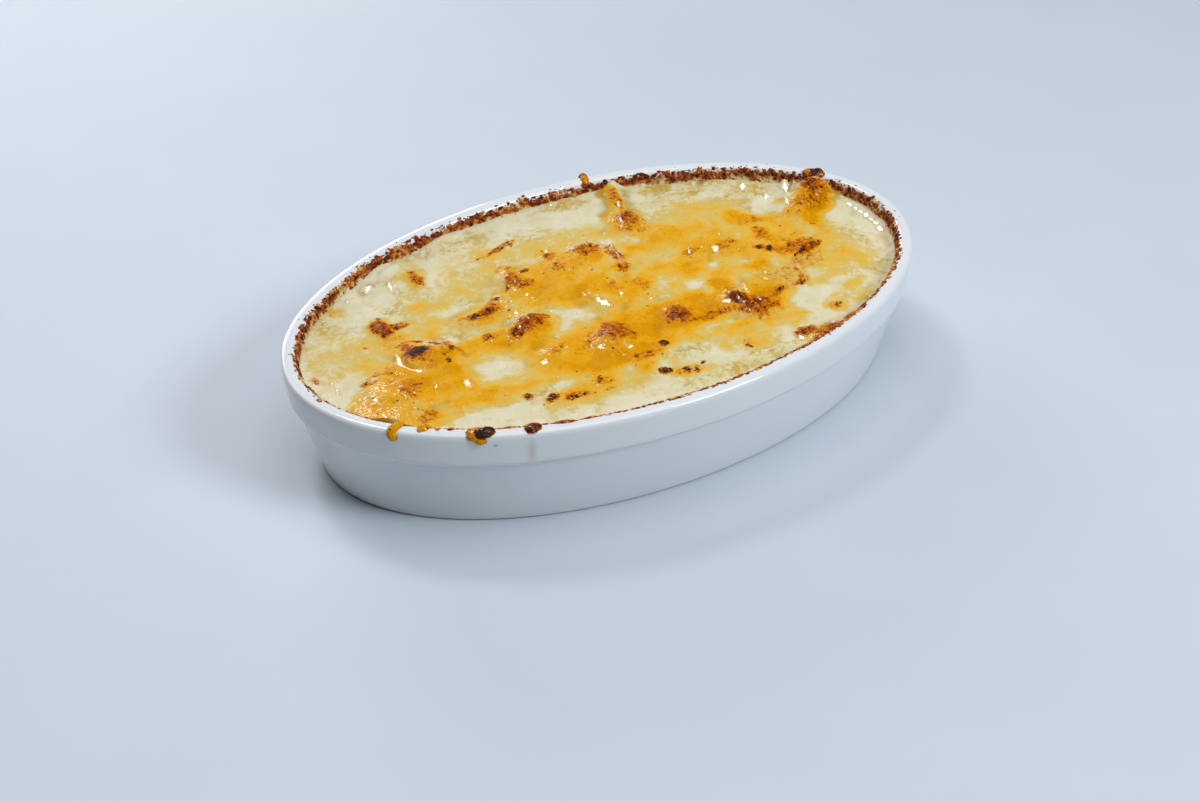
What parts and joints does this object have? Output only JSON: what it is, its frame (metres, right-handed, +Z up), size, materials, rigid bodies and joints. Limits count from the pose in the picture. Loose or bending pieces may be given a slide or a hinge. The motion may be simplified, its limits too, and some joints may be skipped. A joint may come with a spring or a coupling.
{
  "type": "four cheese pasta in gratin dish",
  "caption": "Oval white porcelain gratin dish with a raised rim band, filled with pasta under browned, blistered melted cheese that is baked onto the rim.",
  "frame": {"origin": "centre of the dish's foot, at the height that it stands on", "axes": "+X along the dish's length, +Y across it to the side away from the viewer, +Z up"},
  "size_m": [0.235, 0.146, 0.0437],
  "materials": {
    "porcelain": "gloss",
    "baked_cheese": "satin"
  },
  "bodies": {
    "root": {"dish": "porcelain", "pasta_and_cheese": "baked_cheese"}
  },
  "joints": []
}
